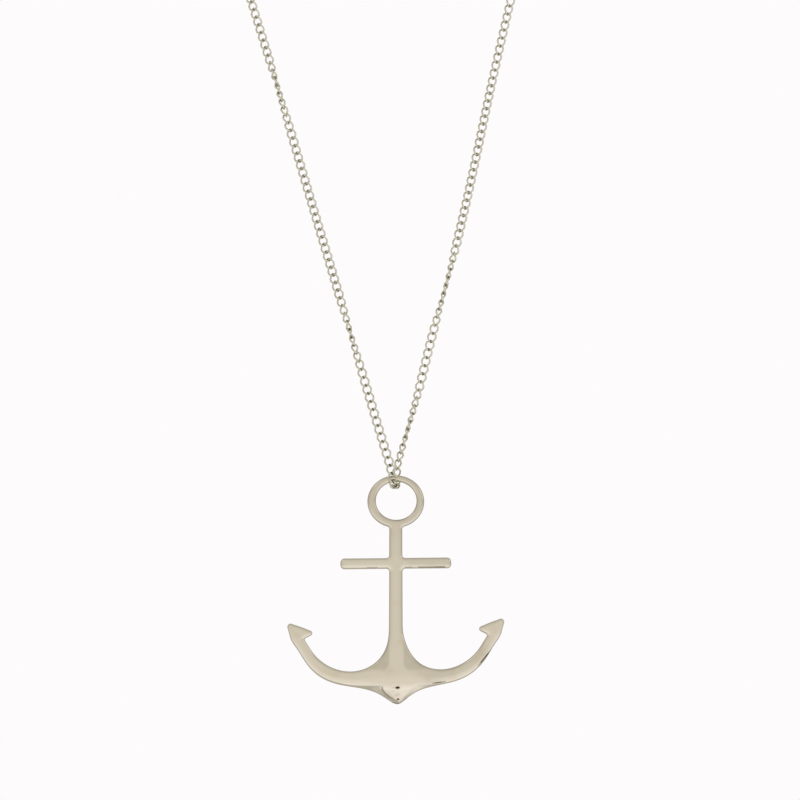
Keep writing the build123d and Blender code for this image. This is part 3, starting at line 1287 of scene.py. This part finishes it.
    def joints(self, line: np.ndarray) -> np.ndarray:
        """Where neighbouring links meet: points of the line that are nearly equally far apart.

        The lengths along the line start even, and are read again from the running sum of
        the straight distances until those are even. Then each strand's joints slide along it
        a little, as the picture shows them.

        Args:
            line: Close points of the chain's line.

        Returns:
            The joints, one more than there are links.
        """
        along = run_lengths(line)[-1]
        count = int(round(along / self.pitch))
        lengths = np.linspace(0.0, along, count + 1)
        for _ in range(self.even_passes):
            straight = run_lengths(at_lengths(line, lengths))
            even = np.linspace(0.0, straight[-1], count + 1)
            lengths = np.interp(even, straight, lengths)
        slide = self.by_strand(at_lengths(line, lengths), self.left_slide, self.right_slide)
        return at_lengths(line, lengths + slide)

    def by_strand(self, places: np.ndarray, left: tuple, right: tuple) -> np.ndarray:
        """A value at each place along the chain, from its side's table.

        Args:
            places: The places, from the left end of the chain to the right one.
            left: Heights above the swing axis and values, for the left half.
            right: The same for the right half.

        Returns:
            One value per place, read between the table's heights.
        """
        height = places[:, 2] - pivot()[2] / MM
        number = np.arange(len(height))
        values = [np.interp(height, *np.array(table).T) for table in (left, right)]
        return np.where(number <= np.argmin(height), *values)

    def roll(self, centres: np.ndarray) -> np.ndarray:
        """How far each link is turned about the chain.

        Each strand turns over where the picture shows it edge-on, and next to the clasp the
        chain turns until its end link stands square in the eye.

        Args:
            centres: The links' middles.

        Returns:
            One turn per link, in radians.
        """
        turn = self.by_strand(centres, self.left_roll, self.right_roll)
        near = 1.0 - smooth_step(np.abs(centres[:, 0]), self.eye_joint, self.clasp_roll_reach)
        near = near * (centres[:, 2] > self.clasp_roll_low)
        turn = turn + np.sign(centres[:, 0]) * near * self.clasp_roll
        return np.radians(turn)

    def frames(self, centres: np.ndarray, along: np.ndarray) -> tuple:
        """Which way each link lies.

        A link's flat side faces out from the middle of the neck, and under the ring's wall
        it faces out from the wall. Behind the wall the sign turns, which a link doesn't
        show because it is the same after half a turn.

        Args:
            centres: The links' middles.
            along: Each link's direction along the chain.

        Returns:
            The sideways direction of each link, and the one that its flat side faces.
        """
        middle = pivot() / MM
        out = centres - np.array([0.0, self.neck_middle, 0.0])
        out[:, 2] = 0.0
        number = np.arange(len(centres))
        lowest = int(np.argmin(centres[:, 2]))
        out = unit(out) * np.where(number <= lowest, 1.0, -1.0)[:, None]
        round_wall = unit((centres - middle) * np.array([0.0, 1.0, 1.0]))
        near = 1.0 - smooth_step(centres[:, 2] - middle[2], *self.round_wall_above)[:, None]
        flat = round_wall * near + out * (1.0 - near)
        flat = unit(flat - np.sum(flat * along, axis=1, keepdims=True) * along)
        sideways = np.cross(flat, along)
        turn = self.roll(centres)[:, None]
        turned = sideways * np.cos(turn) + flat * np.sin(turn)
        return turned, flat * np.cos(turn) - sideways * np.sin(turn)

    def link(self) -> np.ndarray:
        """One link about its own middle: along the chain, sideways and out of the flat.

        Its middle line at turn t lies a cos(t) along and b sin(t) sideways, turned about the
        chain by the end turn times cos(t). The round wire is carried along that line.

        Returns:
            One row per vertex, in millimetres.
        """
        t = full_turn(self.wire_steps * self.wire_fineness)
        reach = (self.pitch + self.wire + self.play) / 2.0
        twist = np.radians(self.end_turn) * np.cos(t)
        side = (self.link_width - self.wire) / 2.0 * np.sin(t)
        line = np.stack([reach * np.cos(t), side * np.cos(twist), side * np.sin(twist)], axis=1)
        tangent = unit(np.roll(line, -1, axis=0) - np.roll(line, 1, axis=0))
        tangent = tangent[:: self.wire_fineness]
        line = line[:: self.wire_fineness]
        outward = unit(line - np.sum(line * tangent, axis=1, keepdims=True) * tangent)
        across = np.cross(tangent, outward)[:, None]
        angle = full_turn(self.wire_sides)[None, :, None]
        circle = np.cos(angle) * outward[:, None] + np.sin(angle) * across
        return (line[:, None] + self.wire / 2.0 * circle).reshape(-1, 3)

    def tarnish(self, link: np.ndarray) -> np.ndarray:
        """How dark a link is: most where it bears on the next one.

        Args:
            link: The link's vertices.

        Returns:
            One number per vertex, from nought to one.
        """
        # Painted shade at the link's two ends, where the next links sit and shade falls.
        bearing = np.array([self.pitch / 2.0, 0.0, 0.0])
        near = np.linalg.norm(np.abs(link) - bearing, axis=1)
        return 1.0 - smooth_step(near, self.tarnish_near, self.tarnish_far)

    def build(self, finish: bpy.types.Material) -> bpy.types.Object:
        """Makes all the links as one piece.

        Args:
            finish: Their plating.

        Returns:
            The piece.
        """
        joints = self.joints(self.line())
        centres = (joints[1:] + joints[:-1]) / 2.0
        along = unit(np.diff(joints, axis=0))
        sideways, flat = self.frames(centres, along)
        axes = np.stack([along, sideways, flat], axis=1)
        link = self.link()
        vertices = centres[:, None] + np.einsum("vk,nkc->nvc", link, axes)
        quads = grid_faces(self.wire_steps, self.wire_sides, ring=True)
        firsts = np.arange(len(centres)) * len(link)
        quads = (quads[None] + firsts[:, None, None]).reshape(-1, 4)
        mesh = make_mesh("curb_links", vertices.reshape(-1, 3) * MM, quads)
        # Painted shade at the joints, deeper and down to black in the crowded knot through the
        # ring.
        gap = np.linalg.norm(centres - pivot() / MM, axis=1)
        more = 1.0 + self.ring_tarnish * (1.0 - smooth_step(gap, *self.ring_tarnish_reach))
        paint(mesh, "painted_darkness", (more[:, None] * self.tarnish(link)).ravel())
        apart = run_lengths(joints)[-1] / len(centres)
        log.info("chain: %d links, on average %.3f mm apart", len(centres), apart)
        return add_piece(mesh, finish, "necklace", Slot.CHAIN, "chain")


@dataclass
class BarrelClasp:
    """The clasp at the nape: a turned barrel with a wire eye soldered to each end."""

    length: float = 8.0
    radius: float = 1.8
    end_round: float = 1.2
    groove_places: tuple = (-2.3, -1.9, 0.0, 1.9, 2.3)
    groove_depth: float = 0.12
    groove_width: float = 0.13
    eye_radius: float = 1.05
    eye_wire: float = 0.35
    eye_middle: float = 4.9
    around: int = 48
    steps: int = 160
    end_steps: int = 12
    eye_steps: int = 40
    eye_sides: int = 14

    def barrel(self) -> tuple:
        """The barrel: its radius along the axis, carried round it and closed at both ends.

        The radius follows a quarter circle at each end and sinks by a narrow bell curve at
        each groove.

        Returns:
            Vertices in millimetres, quads and triangles.
        """
        straight = self.length / 2.0 - self.end_round
        middle = np.linspace(-straight, straight, self.steps)[:, None]
        bells = np.exp(-(((middle - np.array(self.groove_places)) / self.groove_width) ** 2))
        radius = self.radius - self.groove_depth * bells.sum(axis=1)
        turn = np.linspace(0.0, np.pi / 2.0, self.end_steps, endpoint=False)
        end_x = straight + self.end_round * np.cos(turn)
        end_radius = self.radius - self.end_round * (1.0 - np.sin(turn))
        x = np.concatenate([-end_x, middle[:, 0], end_x[::-1]])
        radius = np.concatenate([end_radius, radius, end_radius[::-1]])
        angle = full_turn(self.around)
        circles = [radius[:, None] * np.cos(angle), radius[:, None] * np.sin(angle)]
        points = np.stack([x[:, None] + 0.0 * angle, *circles], axis=-1).reshape(-1, 3)
        poles = np.array([[-self.length / 2.0, 0.0, 0.0], [self.length / 2.0, 0.0, 0.0]])
        first = np.arange(self.around)
        last = first + len(points) - self.around
        left = np.stack([np.full(self.around, len(points)), np.roll(first, -1), first], axis=1)
        right = np.stack([np.full(self.around, len(points) + 1), last, np.roll(last, -1)], axis=1)
        quads = grid_faces(len(x), self.around)
        return np.concatenate([points, poles]), quads, np.concatenate([left, right])

    def eye(self, side: Side) -> tuple:
        """A round wire carried round a circle, in the plane that faces the viewer.

        Args:
            side: The end of the barrel that it stands at.

        Returns:
            Vertices in millimetres, and quads.
        """
        big = full_turn(self.eye_steps)[:, None]
        small = full_turn(self.eye_sides)[None]
        reach = self.eye_radius + self.eye_wire * np.cos(small)
        x = side.value * self.eye_middle + reach * np.cos(big)
        y = self.eye_wire * np.sin(small) + 0.0 * big
        points = np.stack([x, y, reach * np.sin(big)], axis=-1)
        return points.reshape(-1, 3), grid_faces(self.eye_steps, self.eye_sides, ring=True)

    def build(self, finish: bpy.types.Material) -> bpy.types.Object:
        """Makes the clasp as one piece.

        Args:
            finish: Its plating.

        Returns:
            The piece.
        """
        vertices, quads, triangles = self.barrel()
        for side in Side:
            points, faces = self.eye(side)
            quads = np.concatenate([quads, faces + len(vertices)])
            vertices = np.concatenate([vertices, points])
        mesh = make_mesh("barrel_clasp", vertices * MM, quads, triangles)
        return add_piece(mesh, finish, "necklace", Slot.CLASP, "clasp")


@dataclass(frozen=True)
class SoftLight:
    """A square soft light that faces the pendant, with its place and side in metres from it.

    Its glow is how bright its face is, where 1 is the backdrop's white.
    """

    name: str
    place: tuple
    side: float
    glow: float

    def build(self) -> None:
        """Adds the light."""
        data = bpy.data.lights.new(self.name, "AREA")
        data.size = self.side
        data.energy = self.glow * self.side * self.side * np.pi
        light = add_object(self.name, data)
        light.location = pivot() + np.array(self.place)
        light.rotation_euler = Vector(self.place).to_track_quat("Z", "Y").to_euler()


@dataclass
class Studio:
    """The pale studio: camera, soft surroundings, two soft lights and a pale floor.

    Brightness is counted from the backdrop's white. The surroundings' light is given by angle
    in degrees from straight in front of the pendant. There it is multiplied by a second value,
    given on the left and on the right by height in degrees above the horizon, which stands for
    a bright table.
    """

    lens: float = 150.0
    sensor: float = 36.0
    aim_right: float = 1.01
    aim_above: float = 18.86
    backdrop: tuple = (0.983, 0.965, 0.974)
    light_by_angle: tuple = (
        (0.0, 0.85), (8.0, 0.82), (20.0, 0.76), (45.0, 0.69),
        (70.0, 0.64), (95.0, 0.54), (125.0, 0.45), (160.0, 0.8),
    )
    table_on_left: tuple = (
        (-90.0, 0.85), (-74.0, 0.7), (-62.0, 1.05), (-46.0, 1.0), (-37.0, 1.25),
        (-30.0, 1.55), (-14.0, 1.27), (-9.0, 1.13), (-4.0, 1.0),
    )
    table_on_right: tuple = (
        (-90.0, 1.1), (-74.0, 1.25), (-52.0, 1.5),
        (-30.0, 1.55), (-14.0, 1.27), (-9.0, 1.13), (-4.0, 1.0),
    )
    table_seam: tuple = (-0.12, 0.12)
    table_ahead: tuple = (0.0, 0.5)
    table_lit: tuple = (0.0, 0.4)
    table_colour: tuple = (1.0, 1.0, 1.07)
    lights: tuple = (
        SoftLight("left_light", (-0.9, -0.75, 0.9), 0.6, 0.58),
        SoftLight("right_light", (1.0, -0.6, 0.35), 0.6, 0.54),
    )
    floor_height: float = -0.45
    floor_reach: tuple = (0.4, 0.776, 0.8)
    floor_fall: tuple = (0.0, 0.0, -0.01)
    floor_steps: int = 96
    floor_colours: tuple = ((0.93, 0.925, 0.92), (0.9, 0.895, 0.89))
    floor_grain: float = 6.0
    floor_roughness: float = 0.7

    def camera(self) -> bpy.types.Object:
        """The camera, level and square to the pendant, with the picture's own framing.

        Returns:
            The camera.
        """
        data = bpy.data.cameras.new("camera")
        data.lens = self.lens
        data.sensor_width = self.sensor
        camera = add_object("camera", data)
        width = PICTURE_WIDTH * PICTURE_MM_PER_PIXEL * MM
        aim = pivot() + np.array([self.aim_right, 0.0, self.aim_above]) * MM
        camera.location = (aim[0], aim[1] - width * self.lens / self.sensor, aim[2])
        camera.rotation_euler = (np.pi / 2.0, 0.0, 0.0)
        bpy.context.scene.camera = camera
        return camera

    def surroundings(self) -> None:
        """Soft light from all round, with a tone for each direction.

        It is even in front, brighter over the table below the front and dimmer to the sides.
        What the camera sees behind the pendant is plain white.
        """
        world = bpy.data.worlds.new("studio")
        world.use_nodes = True
        bpy.context.scene.world = world
        tree = Tree(world.node_tree)
        toward = tree.node("ShaderNodeTexCoord", {}).outputs["Generated"]
        front = tree.dot(toward, (0.0, -1.0, 0.0))
        right = tree.dot(toward, (1.0, 0.0, 0.0))
        share = tree.math("DIVIDE", tree.math("ARCCOSINE", front), np.pi)
        light = tree.ramp(share, [(angle / 180.0, value) for angle, value in self.light_by_angle])
        height = tree.math("ARCSINE", tree.dot(toward, (0.0, 0.0, 1.0)))
        share = tree.math("ADD", tree.math("DIVIDE", height, np.pi), 0.5)
        sides = []
        for stops in (self.table_on_left, self.table_on_right):
            places = [(angle / 180.0 + 0.5, value) for angle, value in stops]
            sides.append(tree.ramp(share, places))
        table = tree.mix(tree.map(right, *self.table_seam, 0.0, 1.0), *sides)
        ahead = tree.map(front, *self.table_ahead, 0.0, 1.0)
        table = tree.math("MULTIPLY", tree.math("SUBTRACT", table, 1.0), ahead)
        light = tree.math("MULTIPLY", light, tree.math("ADD", table, 1.0))
        lit = tree.map(table, *self.table_lit, 0.0, 1.0)
        tint = tree.mix(lit, (1.0, 1.0, 1.0, 1.0), (*self.table_colour, 1.0))
        seen = tree.node("ShaderNodeLightPath", {}).outputs["Is Camera Ray"]
        shown = tree.mix(seen, tree.scaled(light, tint), (*self.backdrop, 1.0))
        background = tree.node("ShaderNodeBackground", {"Color": shown, "Strength": 1.0})
        tree.node("ShaderNodeOutputWorld", {"Surface": background.outputs[0]})

    def floor(self) -> bpy.types.Object:
        """A round pale floor far below the pendant, which the metal doesn't mirror.

        Returns:
            The floor.
        """
        count = self.floor_steps
        around = full_turn(count)
        reach = np.array(self.floor_reach)[:, None]
        height = self.floor_height + np.array(self.floor_fall)[:, None] + 0.0 * around
        middle = pivot()
        columns = [middle[0] + reach * np.cos(around), middle[1] + reach * np.sin(around)]
        points = np.stack([*columns, height], axis=-1).reshape(-1, 3)
        centre = np.array([[middle[0], middle[1], self.floor_height]])
        rim = np.arange(count)
        fan = np.stack([np.full(count, len(points)), rim, np.roll(rim, -1)], axis=1)
        rings = grid_faces(len(self.floor_reach), count)[:, ::-1]
        mesh = make_mesh("floor", np.concatenate([points, centre]), rings, fan)
        floor = add_object("floor", mesh)
        material, tree = node_material("pale_floor")
        place = tree.node("ShaderNodeTexCoord", {}).outputs["Object"]
        tones = [(*colour, 1.0) for colour in self.floor_colours]
        colour = tree.mix(tree.noise(place, self.floor_grain), *tones)
        surface = {"Base Color": colour, "Roughness": self.floor_roughness}
        shader = tree.node("ShaderNodeBsdfPrincipled", surface)
        tree.node("ShaderNodeOutputMaterial", {"Surface": shader.outputs[0]})
        mesh.materials.append(material)
        floor.visible_glossy = False
        return floor

    def build(self) -> None:
        """Sets the studio up, with colours shown as they are."""
        settings = bpy.context.scene.view_settings
        settings.view_transform = "Standard"
        settings.look = "None"
        self.camera()
        self.surroundings()
        self.floor()
        for light in self.lights:
            light.build()


def main() -> None:
    """Builds the studio and the necklace."""
    Studio().build()
    Casting().build(PolishedPlating("anchor_plating").material())
    CurbChain().build(ChainPlating("chain_plating").material())
    BarrelClasp().build(PolishedPlating("clasp_plating").material())


if __name__ == "__main__":
    main()
